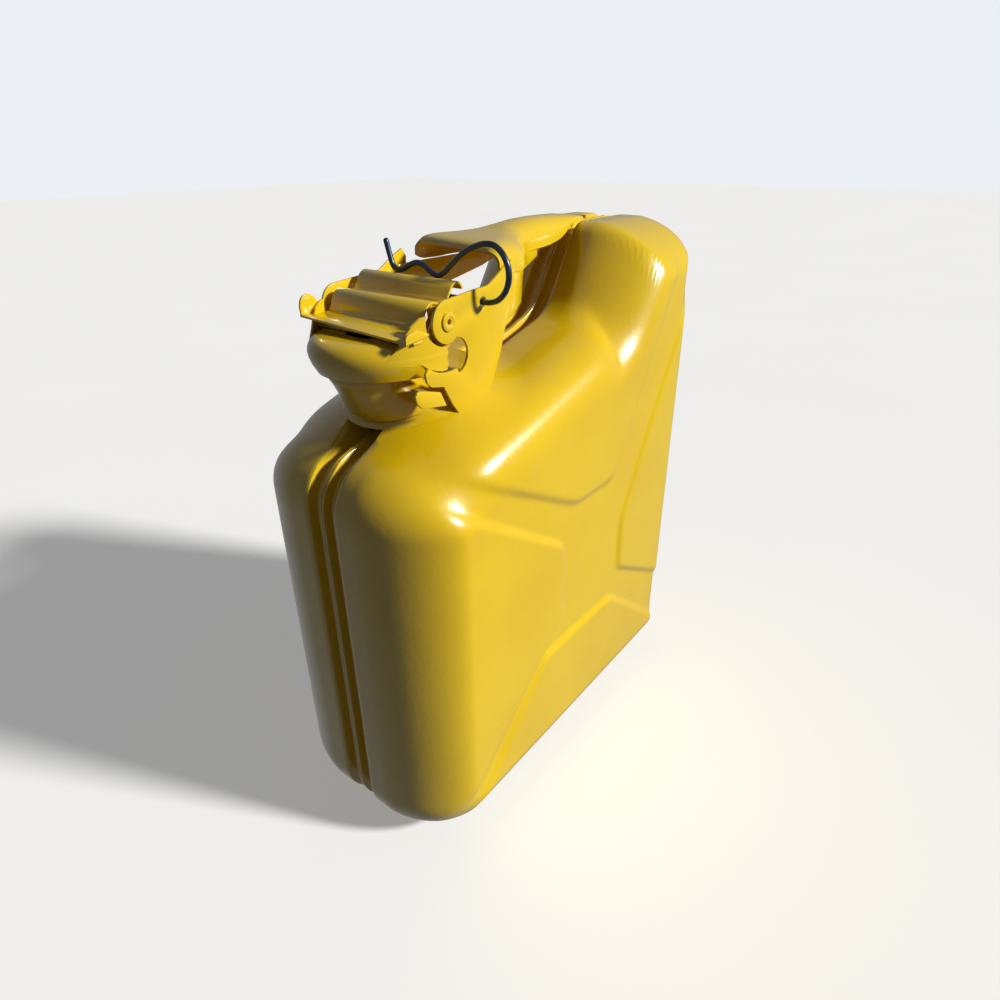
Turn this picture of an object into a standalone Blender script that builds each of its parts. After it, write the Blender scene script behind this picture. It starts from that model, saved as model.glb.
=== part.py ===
# Five litre pressed steel jerry can with a lever closure and a locking clip.
# Frame: +Z up, spout end towards -X, origin at the bottom centre of the can.
# Lengths below are millimetres. Stations run backwards from the front face.

import math

import bmesh
import bpy
import numpy as np
from mathutils import Matrix, Vector
from mathutils.geometry import delaunay_2d_cdt

MM = 0.001

# Can body
LENGTH = 254.0
WIDTH = 123.0
HEIGHT = 300.0
SHEET = 0.9
GAP = 0.3
EDGE_RADIUS = 29.0
CHANNEL_HALF = 9.0
CHANNEL_DEPTH = 6.0
RELIEF = 1.5
RELIEF_SLOPE = 2.5
SHOULDER_FRONT = 214.0
SHOULDER_SLOPE = 0.273

# Filler neck, leaning forwards from the shoulder to the mouth
NECK_BASE_STATION = 63.0
NECK_BASE_RADIUS = 31.0
MOUTH_STATION = 36.0
MOUTH_RADIUS = 17.0
MOUTH_HEIGHT = 256.5
SPOUT_FOOT = 249.5
NECK_WALL = 1.5
NECK_HOLE_RADIUS = 23.0

# Closure
PIVOT_STATION = 51.3
PIVOT_HEIGHT = 274.0
PIVOT_HOLE = 2.5
PIVOT_SHANK = 2.2
CHEEK_INNER = 33.4
CHEEK_OUTER = 34.5
LOBE_RADIUS = 9.0
CLIP_STATION = 74.0
CLIP_HEIGHT = 278.2
CLIP_WIRE = 1.3
CLIP_HOLE = 2.3
CAP_STATION = 43.0
CAP_RADIUS = 30.0
CAP_TOP = 267.0
CAP_SKIRT = 252.0
CAP_SHEET = 1.1
LEVER_HALF = 28.0
LIP_HALF = 32.6

# Corners of the side outline: station, height, radius
OUTLINE_CORNERS = [
    (0.0, 0.0, 27.0),
    (LENGTH, 0.0, 27.0),
    (LENGTH, HEIGHT, 18.0),
    (187.0, HEIGHT, 13.0),
    (158.0, 256.0, 30.0),
    (0.0, SHOULDER_FRONT, 28.0),
]
OUTLINE_STEP = 24.0
OUTLINE_HEART = (128.0, 125.0)

# Raised side panels: far left point, apex start, apex end, far right point
SIDE_PANELS = [
    [(34.0, 211.0), (115.0, 168.0), (157.0, 168.0), (180.0, 209.0)],
    [(194.0, 190.0), (166.0, 139.0), (167.0, 101.0), (218.0, 72.0)],
    [(207.0, 52.0), (162.0, 88.0), (90.0, 88.0), (51.0, 48.0)],
    [(62.0, 62.0), (108.5, 102.0), (108.5, 151.0), (50.0, 189.5)],
]


def clear_scene():
    for item in list(bpy.data.objects):
        bpy.data.objects.remove(item, do_unlink=True)


def paint(name, colour, roughness, metallic):
    material = bpy.data.materials.new(name)
    material.use_nodes = True
    shader = material.node_tree.nodes["Principled BSDF"]
    shader.inputs["Base Color"].default_value = (*colour, 1.0)
    shader.inputs["Roughness"].default_value = roughness
    shader.inputs["Metallic"].default_value = metallic
    return material


def world(station, y, height):
    return Vector(((station - LENGTH / 2) * MM, y * MM, height * MM))


def add_axis(name, station, height):
    axis = bpy.data.objects.new(name, None)
    axis.location = world(station, 0.0, height)
    bpy.context.collection.objects.link(axis)
    return axis


def add_part(name, mesh, material, axis=None):
    if axis is not None:
        bmesh.ops.translate(mesh, verts=mesh.verts, vec=-axis.location)
    bmesh.ops.remove_doubles(mesh, verts=mesh.verts, dist=0.000001)
    bmesh.ops.recalc_face_normals(mesh, faces=mesh.faces)
    data = bpy.data.meshes.new(name)
    mesh.to_mesh(data)
    mesh.free()
    data.shade_smooth()
    data.set_sharp_from_angle(angle=math.radians(35))
    data.materials.append(material)
    part = bpy.data.objects.new(name, data)
    bpy.context.collection.objects.link(part)
    part.parent = axis
    return part


def add_cutter(name, mesh, axis=None):
    cutter = add_part(name, mesh, PAINT, axis)
    cutter.hide_render = True
    cutter.display_type = "WIRE"
    return cutter


def boolean(part, cutter, operation):
    modifier = part.modifiers.new(cutter.name, "BOOLEAN")
    modifier.object = cutter
    modifier.operation = operation
    modifier.solver = "EXACT"


def loft(loops, closed_ends=True, mesh=None):
    # Skin a list of equal closed loops of points, in order.
    mesh = mesh or bmesh.new()
    rings = [[mesh.verts.new(point) for point in loop] for loop in loops]
    for low, high in zip(rings, rings[1:]):
        for i in range(len(low)):
            j = (i + 1) % len(low)
            mesh.faces.new((low[i], low[j], high[j], high[i]))
    if closed_ends:
        mesh.faces.new(rings[0])
        mesh.faces.new(rings[-1])
    return mesh


def torus_loft(loops, mesh=None):
    # Skin loops whose last one joins back to the first, as in a turned ring.
    mesh = mesh or bmesh.new()
    rings = [[mesh.verts.new(point) for point in loop] for loop in loops]
    for k, low in enumerate(rings):
        high = rings[(k + 1) % len(rings)]
        for i in range(len(low)):
            j = (i + 1) % len(low)
            mesh.faces.new((low[i], low[j], high[j], high[i]))
    return mesh


def turned(profile, station, segments=40, mesh=None):
    # Turn a closed outline of radius and height about an upright axis.
    loops = []
    for radius, height in profile:
        angles = [2 * math.pi * i / segments for i in range(segments)]
        loops.append([world(station + radius * math.cos(a), radius * math.sin(a), height)
                      for a in angles])
    return torus_loft(loops, mesh)


def turned_solid(profile, station, segments=40):
    # Turned piece with flat ends, its profile running from one end to the other.
    return loft([world_ring(station, radius, height, segments) for radius, height in profile])


def world_ring(station, radius, height, segments=40):
    angles = [2 * math.pi * k / segments for k in range(segments)]
    return [world(station + radius * math.cos(a), radius * math.sin(a), height) for a in angles]


def cross_turned(profile, station, height, segments=24, mesh=None):
    # Turn a closed outline of radius and y about an axis along Y.
    loops = []
    for radius, y in profile:
        angles = [2 * math.pi * i / segments for i in range(segments)]
        loops.append([world(station + radius * math.cos(a), y, height + radius * math.sin(a))
                      for a in angles])
    return torus_loft(loops, mesh)


def plate(outline, y_low, y_high, mesh=None):
    # Upright plate: an outline of stations and heights, thick along Y.
    loops = [[world(s, y, h) for s, h in outline] for y in (y_low, y_high)]
    return loft(loops, True, mesh)


def rod(centre, radius, y_low, y_high, segments=24):
    station, height = centre
    points = arc(centre, radius, 0.0, 360.0 - 360.0 / segments, segments - 1)
    return plate(points, y_low, y_high)


def arc(centre, radius, start, end, steps):
    points = []
    for k in range(steps + 1):
        angle = math.radians(start + (end - start) * k / steps)
        points.append((centre[0] + radius * math.cos(angle), centre[1] + radius * math.sin(angle)))
    return points


def swept(path, radius, segments=10):
    # Round bar along a path of points, with flat ends.
    mesh = bmesh.new()
    loops = []
    side = None
    for i, point in enumerate(path):
        ahead = path[min(i + 1, len(path) - 1)]
        behind = path[max(i - 1, 0)]
        along = (ahead - behind).normalized()
        if side is None:
            side = along.orthogonal().normalized()
        side = (side - along * side.dot(along)).normalized()
        up = along.cross(side)
        angles = [2 * math.pi * k / segments for k in range(segments)]
        loops.append([point + (side * math.cos(a) + up * math.sin(a)) * radius for a in angles])
    return loft(loops, True, mesh)


# Can body -----------------------------------------------------------------

def rounded_outline(corners, step):
    # Closed outline with round corners, its straights divided into steps.
    points = []
    count = len(corners)
    for i, (s, h, radius) in enumerate(corners):
        here = np.array((s, h))
        before = np.array(corners[i - 1][:2])
        after = np.array(corners[(i + 1) % count][:2])
        to_before = (before - here) / np.linalg.norm(before - here)
        to_after = (after - here) / np.linalg.norm(after - here)
        half = math.acos(float(np.dot(to_before, to_after))) / 2
        reach = radius / math.tan(half)
        middle = (to_before + to_after) / np.linalg.norm(to_before + to_after)
        centre = here + middle * radius / math.sin(half)
        start = here + to_before * reach - centre
        end = here + to_after * reach - centre
        sweep = math.pi - 2 * half
        steps = max(2, round(sweep * 180 / math.pi / 13))
        for k in range(steps + 1):
            t = k / steps
            blend = start * math.sin((1 - t) * sweep) + end * math.sin(t * sweep)
            points.append(centre + blend / math.sin(sweep))
    return divide(points, step)


def divide(points, step):
    divided = []
    for here, there in zip(points, points[1:] + points[:1]):
        parts = max(1, math.ceil(np.linalg.norm(there - here) / step))
        divided += [here + (there - here) * k / parts for k in range(parts)]
    return np.array(divided)


def depth_inside(points, outline):
    # Distance of each point to the nearest stretch of the outline.
    start = outline[None, :, :]
    along = np.roll(outline, -1, axis=0)[None, :, :] - start
    offset = points[:, None, :] - start
    t = (offset * along).sum(2) / (along * along).sum(2)
    foot = start + along * np.clip(t, 0, 1)[:, :, None]
    return np.sqrt(((points[:, None, :] - foot) ** 2).sum(2)).min(1)


def inset_ring(outline, depth):
    # Each outline point moved towards the heart until it is depth inside.
    heart = np.array(OUTLINE_HEART)
    low = np.zeros(len(outline))
    high = np.full(len(outline), 0.75)
    for _ in range(30):
        middle = (low + high) / 2
        points = outline + (heart - outline) * middle[:, None]
        shallow = depth_inside(points, outline) < depth
        low = np.where(shallow, middle, low)
        high = np.where(shallow, high, middle)
    return outline + (heart - outline) * low[:, None]


def edge_levels(depth, y, radius_in, radius_out, steps=6):
    # Quarter round from the narrow face to the broad face.
    levels = []
    for k in range(1, steps + 1):
        angle = math.pi / 2 * k / steps
        levels.append((depth + radius_in * (1 - math.cos(angle)), y + radius_out * math.sin(angle)))
    return levels


FLANGE_DEPTH = 1.2
CROWN_FLAT = 23.0
CROWN_START = WIDTH / 2 - EDGE_RADIUS + 1.5
CROWN_DROP = 3.2


def outer_levels():
    # Depth and y of the outer skin, from the seam to the broad face.
    wall = CHANNEL_HALF
    levels = [(FLANGE_DEPTH, GAP / 2), (FLANGE_DEPTH, GAP / 2 + SHEET)]
    levels += [(CHANNEL_DEPTH, GAP / 2 + SHEET), (CHANNEL_DEPTH, wall - 1.2), (0.4, wall), (0.0, wall + 1.0)]
    levels += [(0.0, CROWN_FLAT), (CROWN_DROP, CROWN_START)]
    return levels + edge_levels(CROWN_DROP, CROWN_START, EDGE_RADIUS - CROWN_DROP, WIDTH / 2 - CROWN_START)


def inner_levels():
    # Depth and y of the inner skin, in the same order.
    wall = CHANNEL_HALF + SHEET
    floor = CHANNEL_DEPTH + SHEET
    levels = [(floor, GAP / 2), (floor, wall - 1.2), (1.5, wall), (SHEET, wall + 1.0), (SHEET, CROWN_FLAT - GAP)]
    levels.append((CROWN_DROP + SHEET, CROWN_START - GAP))
    side = WIDTH / 2 - CROWN_START - SHEET + GAP
    return levels + edge_levels(CROWN_DROP + SHEET, CROWN_START - GAP, EDGE_RADIUS - CROWN_DROP - SHEET, side)


def panel_raise(points):
    # 1 on the raised panels, 0 in the arms and middle between them.
    best = np.full(len(points), -1000.0)
    for panel in SIDE_PANELS:
        inside = np.full(len(points), 1000.0)
        for start, end in zip(panel, panel[1:]):
            along = np.array(end) - np.array(start)
            normal = np.array((-along[1], along[0])) / np.linalg.norm(along)
            inside = np.minimum(inside, (points - np.array(start)) @ normal)
        best = np.maximum(best, inside)
    return np.clip(best / RELIEF_SLOPE, 0.0, 1.0)


def offset_panel(panel, distance):
    # The panel's open outline moved inwards by a distance.
    lines = []
    for start, end in zip(panel, panel[1:]):
        along = (np.array(end) - np.array(start)) / np.linalg.norm(np.array(end) - np.array(start))
        normal = np.array((-along[1], along[0]))
        lines.append((np.array(start) + normal * distance, along))
    corners = []
    for (p, d), (q, e) in zip(lines, lines[1:]):
        t = np.linalg.solve(np.array((d, -e)).T, q - p)[0]
        corners.append(p + d * t)
    return [(corners[0], -lines[0][1])] + [(corners[1], lines[-1][1])]


def reach_edge(start, direction, outline):
    # Farthest point along a direction that stays on the flat side face.
    far = 0.0
    for reach in np.arange(0.0, 120.0, 1.0):
        point = start + direction * reach
        if depth_inside(point[None, :], outline)[0] < EDGE_RADIUS + 5.0:
            break
        far = reach
    return start + direction * far


def side_face(ring, outline):
    # Triangles of the broad face, split along the edges of the raised panels.
    points = [tuple(p) for p in ring]
    edges = [(i, (i + 1) % len(ring)) for i in range(len(ring))]
    for panel in SIDE_PANELS:
        for distance in (0.0, RELIEF_SLOPE):
            (left, left_way), (right, right_way) = offset_panel(panel, distance)
            chain = [reach_edge(left, left_way, outline), left, right]
            chain.append(reach_edge(right, right_way, outline))
            first = len(points)
            points += [tuple(p) for p in chain]
            edges += [(first + k, first + k + 1) for k in range(3)]
    result = delaunay_2d_cdt([Vector(p) for p in points], edges, [], 1, 0.0001)
    return result[0], result[2], result[3]


def shell(side):
    # One pressed half: outer skin, inner skin, and the relief on both.
    outline = rounded_outline(OUTLINE_CORNERS, OUTLINE_STEP)
    levels = [(inset_ring(outline, d), y) for d, y in reversed(inner_levels())]
    levels += [(inset_ring(outline, d), y) for d, y in outer_levels()]
    broad = levels[-1][0]
    lowered = RELIEF * (1 - panel_raise(broad))
    loops = [[world(s, side * y, h) for s, h in ring] for ring, y in levels]
    for k in (0, -1):
        loops[k] = [world(p[0], side * (levels[k][1] - drop), p[1]) for p, drop in zip(broad, lowered)]
    mesh = loft(loops, False)
    mesh.verts.ensure_lookup_table()
    count = len(outline)
    inner = [mesh.verts[i] for i in range(count)]
    outer = [mesh.verts[len(mesh.verts) - count + i] for i in range(count)]
    add_side_face(mesh, inner, broad, outline, side, levels[0][1])
    add_side_face(mesh, outer, broad, outline, side, levels[-1][1])
    return mesh


def add_side_face(mesh, ring_verts, ring, outline, side, top):
    points, faces, origins = side_face(ring, outline)
    raised = panel_raise(np.array([tuple(p) for p in points]))
    verts = []
    for point, lift, origin in zip(points, raised, origins):
        on_ring = [k for k in origin if k < len(ring)]
        if on_ring:
            verts.append(ring_verts[on_ring[0]])
        else:
            verts.append(mesh.verts.new(world(point.x, side * (top - RELIEF * (1 - lift)), point.y)))
    for face in faces:
        mesh.faces.new([verts[k] for k in face])


def crown_drop(y):
    # How far the narrow face falls below its crown, y from the seam.
    levels = [(CHANNEL_HALF, 0.0)] + [(level_y, d) for d, level_y in outer_levels()[5:]]
    return float(np.interp(abs(y), [v[0] for v in levels], [v[1] for v in levels]))


def shoulder_height(station, y):
    return SHOULDER_FRONT + SHOULDER_SLOPE * station - crown_drop(y)


# Filler neck --------------------------------------------------------------

def neck_loop(t, wall, segments=40):
    # t runs from the weld on the shoulder, 0, to the foot of the spout, 1.
    centre = NECK_BASE_STATION + (MOUTH_STATION - NECK_BASE_STATION) * t ** 0.8
    radius = MOUTH_RADIUS + (NECK_BASE_RADIUS - MOUTH_RADIUS) * (1 - t) ** 1.5 - wall
    loop = []
    for k in range(segments):
        angle = 2 * math.pi * k / segments
        station = centre + radius * math.cos(angle)
        y = radius * math.sin(angle)
        foot = shoulder_height(station, y) + GAP
        loop.append(world(station, y, foot + (SPOUT_FOOT - foot) * t))
    return loop


def neck():
    steps = [k / 6 for k in range(7)]
    spout = [world_ring(MOUTH_STATION, MOUTH_RADIUS, h) for h in (SPOUT_FOOT + 2, MOUTH_HEIGHT)]
    bore = MOUTH_RADIUS - NECK_WALL
    lining = [world_ring(MOUTH_STATION, bore, h) for h in (MOUTH_HEIGHT, SPOUT_FOOT + 1.5)]
    loops = [neck_loop(t, 0.0) for t in steps[:-1]] + [neck_loop(1.0, 0.0)] + spout + lining
    loops += [neck_loop(t, NECK_WALL) for t in reversed(steps)]
    return torus_loft(loops)


def mouth_ring():
    sleeve = MOUTH_RADIUS - NECK_WALL - GAP
    bore = sleeve - 1.5
    top = MOUTH_HEIGHT + 1.5
    profile = [(bore, SPOUT_FOOT + 1), (sleeve, SPOUT_FOOT + 1), (sleeve, MOUTH_HEIGHT + GAP)]
    profile += [(MOUTH_RADIUS, MOUTH_HEIGHT + GAP), (MOUTH_RADIUS, top - 0.5), (MOUTH_RADIUS - 0.5, top)]
    profile += [(bore, top)]
    return turned(profile, MOUTH_STATION)


BREATHER_ROUTE = [(47, 244.5), (52, 240.5), (58, 235), (64, 229), (72, 223), (90, 218), (130, 222), (158, 232),
                  (176, 246), (190, 266), (203, 284), (208, 292)]
BREATHER_Y = 10.5


def breather(radius, route):
    return swept([world(s, BREATHER_Y, h) for s, h in route], radius * MM, 12)


# Closure bracket ----------------------------------------------------------

PIVOT = (PIVOT_STATION, PIVOT_HEIGHT)
CLIP_EYE = (CLIP_STATION, CLIP_HEIGHT)
GUSSET_SHEET = 1.2
# Station, distance of the outer face from the middle, low edge, high edge.
GUSSET = ((89.0, 32.7, 265.5, 286.0), (98.0, 32.4, 268.0, 286.2), (108.0, 29.8, 271.5, 286.7),
          (120.0, 21.8, 276.5, 288.2), (132.0, 13.8, 282.0, 289.7), (146.0, 12.3, 286.8, 289.9))


def cheek_outline():
    points = arc(PIVOT, LOBE_RADIUS, 85, 283, 16)
    points += arc((55.0, 259.0), 8.2, 80, -75, 10)
    points += arc(PIVOT, 20.9, -78, -128, 6)
    points += [(36.4, 255.4), (37.2, 251.5), (39.5, 249.3), (47.0, 247.6), (52.0, 238.6), (57.5, 231.0)]
    points += [(75.0, 235.5), (81.0, 244.0), (86.0, 254.0), (89.5, 264.0), (96.5, 281.0), (97.0, 289.0)]
    points += [(94.5, 293.0), (88.0, 290.0), (79.0, 285.0), (76.5, 284.4), (70.0, 284.2)]
    return points


def cheek(side):
    outline = cheek_outline()
    low, high = sorted((side * CHEEK_INNER, side * CHEEK_OUTER))
    return plate(outline, low, high)


def hood_section(station, half, bottom, top, corner, wall=1.2):
    # Upside down U, outer path then inner path back.
    loop = []
    for inset in (0.0, wall):
        w = half - inset
        z = top - inset
        r = max(corner - inset, 0.4)
        right = arc((w - r, z - r), r, 0, 90, 5)
        left = [(-y, h) for y, h in reversed(right)]
        path = [(w, bottom)] + right + left + [(-w, bottom)]
        loop += path if inset == 0.0 else list(reversed(path))
    return [world(station, y, h) for y, h in loop]


def hood():
    sections = [(83, 32.9, 288.0, 297.0, 7), (87, 32.9, 286.5, 300.3, 9), (98, 32.5, 286.5, 301.5, 10)]
    sections += [(108, 30.0, 287.0, 302.3, 10), (120, 22.0, 288.5, 303.0, 8), (132, 14.0, 290.0, 303.4, 5)]
    return loft([hood_section(*s) for s in sections])


def gusset(side):
    # Wall under the hood's edge that narrows from the cheek to the handle.
    loops = []
    for station, outside, low, high in GUSSET:
        ys = (side * outside, side * (outside - GUSSET_SHEET))
        loops.append([world(station, ys[0], low), world(station, ys[0], high),
                      world(station, ys[1], high), world(station, ys[1], low)])
    return loft(loops)


def handle():
    sections = [(132 + GAP, 14.0, 290.0, 303.4, 5), (142, 12.6, 290.3, 304.2, 5), (156, 12.2, 291.0, 304.6, 5)]
    sections += [(170, 11.8, 293.6, 304.4, 5), (180, 11.2, 299.0, 304.0, 3.5), (186, 10.6, 300.6, 303.6, 2.6)]
    sections += [(196, 9.0, 300.6, 302.8, 1.8)]
    return loft([hood_section(*s) for s in sections])


def handle_weld():
    path = [world(197.6 + 1.2 * math.cos(math.radians(a)), 9.5 * math.sin(math.radians(a)), 301.3)
            for a in range(-80, 81, 20)]
    return swept(path, 0.95 * MM, 10)


def neck_lug():
    # Tab that stands out on the left of the neck, its foot on the neck wall.
    tab = [(28.5, 245.5), (27.8, 248.6), (29.2, 250.0), (31.0, 250.3), (42.6, 246.8), (46.0, 240.0), (31.5, 242.6)]
    foot = [(36.5, 243.0), (36.5, 247.6), (42.0, 246.4), (44.6, 241.4)]
    return plate(tab, -36.6, -35.2), plate(foot, -35.9, -25.2)


# Cap ----------------------------------------------------------------------

def cap_pan():
    t = CAP_SHEET
    r = CAP_RADIUS
    outer = [(r - 7, CAP_TOP)] + cap_round(0.0) + [(r - 4.0, CAP_SKIRT)]
    inner = [(r - 4.0 - t, CAP_SKIRT)] + list(reversed(cap_round(t))) + [(r - 7 - t, CAP_TOP - t)]
    return turned_solid(outer + inner, CAP_STATION, 48)


def cap_round(inset):
    points = []
    for angle in (70, 45, 20, 0, -25):
        a = math.radians(angle)
        points.append((CAP_RADIUS - 7 + (7 - inset) * math.cos(a), CAP_TOP - 7 + (7 - inset) * math.sin(a)))
    points.append((CAP_RADIUS - 1.8 - inset, CAP_SKIRT + 4))
    return points


def cap_back_cut():
    # Takes the skirt off behind the mouth and trims the top plate.
    mesh = plate([(52.0, 240.0), (52.0, 264.5), (63.0, 264.5), (63.0, 280.0), (90.0, 280.0), (90.0, 240.0)], -40, 40)
    return mesh


def ear_outline():
    points = [(21.5, 258.6), (24.5, 264.5), (30.0, 268.0), (32.0, 271.9), (35.0, 274.8), (38.6, 277.2)]
    points += arc(PIVOT, 10.4, 162, 268, 9)
    points += [(54.6, 264.0), (51.6, 260.5), (52.6, 256.4)]
    points += arc(PIVOT, 20.4, -88, -136, 6)
    points += [(34.6, 257.2), (30.0, 257.1), (24.0, 257.0)]
    return points


def cap_ear(side):
    low, high = sorted((side * CHEEK_INNER, side * CHEEK_OUTER))
    return plate(ear_outline(), low, high)


def ear_web(side):
    # Joins the flat ear to the round side of the cap.
    low, high = sorted((side * 29.0, side * (CHEEK_INNER + 0.5)))
    return plate([(30.0, 260.0), (30.0, 263.0), (46.0, 263.0), (46.0, 260.0)], low, high)


def cap_yoke():
    strip = CAP_TOP + GAP
    mesh = plate([(34.0, strip), (60.0, strip), (60.0, strip + 1.0), (34.0, strip + 1.0)], -31.4, 31.4)
    return mesh


def yoke_ear(side):
    low, high = sorted((side * 30.2, side * 31.4))
    foot = CAP_TOP + GAP + 0.1
    points = [(42.0, foot), (60.0, foot), (58.6, 271.5)] + arc(PIVOT, 6.0, 10, 175, 10) + [(43.0, 271.5)]
    return plate(points, low, high)


def cap_rivet():
    profile = [(4.6, 256.9), (4.6, 258.1), (3.0, 258.2), (3.0, 268.6), (4.6, 268.7), (4.2, 269.5), (2.5, 269.8)]
    return turned_solid(profile, MOUTH_STATION, 24)


def gasket():
    return turned([(3.4, 258.5), (17.6, 258.5), (18.0, 259.0), (18.0, 261.2), (3.4, 261.2)], MOUTH_STATION)


def gasket_plate():
    profile = [(3.4, 261.5), (16.5, 261.5), (16.5, 262.6), (8.0, 262.6), (6.5, 265.5), (3.4, 265.5)]
    return turned(profile, MOUTH_STATION)


# Lever, rivets and clip ---------------------------------------------------

LEVER_LINE = [(37.2, 270.9), (39.2, 271.7), (40.6, 273.0), (42.4, 276.6), (44.6, 279.2), (47.6, 280.0), (51.0, 279.7),
              (56.0, 279.4), (58.6, 280.8), (60.6, 283.6), (62.6, 285.6), (65.2, 286.2), (67.4, 285.0), (68.2, 282.8)]


def thickened(line, wall):
    # Closed outline of a bent sheet whose lower face follows the line.
    points = [np.array(p) for p in line]
    upper = []
    for i, here in enumerate(points):
        before = points[max(i - 1, 0)]
        after = points[min(i + 1, len(points) - 1)]
        along = (after - before) / np.linalg.norm(after - before)
        upper.append(here + np.array((-along[1], along[0])) * wall)
    return [tuple(p) for p in points] + [tuple(p) for p in reversed(upper)]


def lever_plate():
    return plate(thickened(LEVER_LINE, 1.1), -LEVER_HALF, LEVER_HALF)


def lever_lip():
    return plate([(30.0, 270.6), (38.8, 270.6), (38.8, 271.6), (30.0, 271.6)], -LIP_HALF, LIP_HALF)


def lever_tip(side):
    # Turned-up end of the lip.
    low, high = sorted((side * (LIP_HALF - 1.1), side * LIP_HALF))
    return plate([(30.4, 271.1), (29.9, 274.5), (31.4, 277.2), (34.2, 277.8), (37.0, 275.6), (38.2, 271.1)], low, high)


def lever_wing(side):
    # Side wall of the lever, down to the pivot.
    low, high = sorted((side * (LEVER_HALF - 1.1), side * LEVER_HALF))
    points = [(45.6, 275.5), (45.2, 279.6), (48.6, 280.4), (56.4, 280.0), (58.4, 276.4)]
    return plate(points + arc(PIVOT, 5.2, -20, -170, 8), low, high)


def pivot_rivet(side):
    profile = [(1.2, 26.2), (3.6, 26.2), (3.6, 26.6), (PIVOT_SHANK, 26.7), (PIVOT_SHANK, 34.8), (4.0, 34.85)]
    profile += [(3.8, 35.4), (2.6, 35.7), (1.2, 35.2)]
    return cross_turned([(r, side * y) for r, y in profile], *PIVOT)


def clip_route():
    # Straight leg through both cheeks, round bow, waist and turned-up tip.
    route = [(38.0, CLIP_HEIGHT), (0.0, CLIP_HEIGHT), (-36.0, CLIP_HEIGHT)]
    route += arc((-39.0, 290.7), 12.5, -80, -215, 14)[:-2]
    route = [(y, h) for y, h in route]
    bow = [(-33.6, 301.9), (-28.0, 299.9), (-22.0, 296.2), (-16.0, 291.2), (-11.5, 287.6), (-8.0, 286.7)]
    bow += [(-4.0, 288.4), (0.5, 290.9), (4.5, 291.2), (9.0, 289.2), (13.5, 287.2), (17.0, 287.6), (19.6, 291.4)]
    bow += [(22.4, 299.6)]
    return [world(CLIP_STATION, y, h) for y, h in route + bow]


# Assembly -----------------------------------------------------------------

def drill(part, centre, radius, name, axis=None):
    cutter = add_cutter(name, rod(centre, radius, -45.0, 45.0), axis)
    boolean(part, cutter, "DIFFERENCE")


def join(part, mesh, name, axis=None):
    cutter = add_cutter(name, mesh, axis)
    boolean(part, cutter, "UNION")


def build_body():
    throat = turned_solid([(NECK_HOLE_RADIUS, 205.0), (NECK_HOLE_RADIUS, 262.0)], 0.0)
    lean = Matrix.Rotation(-math.atan(SHOULDER_SLOPE), 4, "Y")
    centre = world(NECK_BASE_STATION - 3, 0.0, 232.0)
    bmesh.ops.translate(throat, verts=throat.verts, vec=-world(0.0, 0.0, 232.0))
    bmesh.ops.transform(throat, verts=throat.verts, matrix=Matrix.Translation(centre) @ lean)
    cutter = add_cutter("throat_cut", throat)
    for name, side in (("left_shell", -1), ("right_shell", 1)):
        part = add_part(name, shell(side), PAINT)
        boolean(part, cutter, "DIFFERENCE")
    add_part("filler_neck", neck(), PAINT)
    add_part("mouth_ring", mouth_ring(), PAINT)
    tube = add_part("breather_tube", breather(3.2, BREATHER_ROUTE[1:-1]), PAINT)
    bore = add_cutter("breather_bore", breather(2.3, BREATHER_ROUTE))
    boolean(tube, bore, "DIFFERENCE")


def build_bracket():
    for name, side in (("left", -1), ("right", 1)):
        part = add_part(name + "_cheek", cheek(side), PAINT)
        drill(part, PIVOT, PIVOT_HOLE, name + "_cheek_pivot")
        drill(part, CLIP_EYE, CLIP_HOLE, name + "_cheek_eye")
        add_part(name + "_gusset", gusset(side), PAINT)
        add_part(name + "_pivot_rivet", pivot_rivet(side), PAINT)
    tab, foot = neck_lug()
    lug = add_part("neck_lug", tab, PAINT)
    join(lug, foot, "lug_foot")
    add_part("hood", hood(), PAINT)
    add_part("handle", handle(), PAINT)
    add_part("handle_weld", handle_weld(), PAINT)


def build_cap(axis):
    pan = add_part("cap_pan", cap_pan(), PAINT, axis)
    boolean(pan, add_cutter("cap_back_cut", cap_back_cut(), axis), "DIFFERENCE")
    for name, side in (("left", -1), ("right", 1)):
        join(pan, ear_web(side), name + "_ear_web", axis)
        join(pan, cap_ear(side), name + "_ear", axis)
    drill_up(pan, "cap_rivet_hole", axis)
    yoke = add_part("cap_yoke", cap_yoke(), PAINT, axis)
    for name, side in (("left", -1), ("right", 1)):
        join(yoke, yoke_ear(side), name + "_yoke_ear", axis)
    drill(yoke, PIVOT, PIVOT_HOLE, "yoke_pivot", axis)
    drill_up(yoke, "yoke_rivet_hole", axis)
    add_part("cap_rivet", cap_rivet(), STEEL, axis)
    add_part("gasket", gasket(), RUBBER, axis)
    add_part("gasket_plate", gasket_plate(), STEEL, axis)


def drill_up(part, name, axis):
    hole = turned_solid([(3.4, 250.0), (3.4, 275.0)], MOUTH_STATION, 24)
    boolean(part, add_cutter(name, hole, axis), "DIFFERENCE")


def build_lever(axis):
    lever = add_part("lever", lever_plate(), PAINT, axis)
    join(lever, lever_lip(), "lever_lip", axis)
    for name, side in (("left", -1), ("right", 1)):
        join(lever, lever_tip(side), name + "_lever_tip", axis)
        join(lever, lever_wing(side), name + "_lever_wing", axis)
    drill(lever, PIVOT, PIVOT_HOLE, "lever_pivot", axis)


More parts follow.
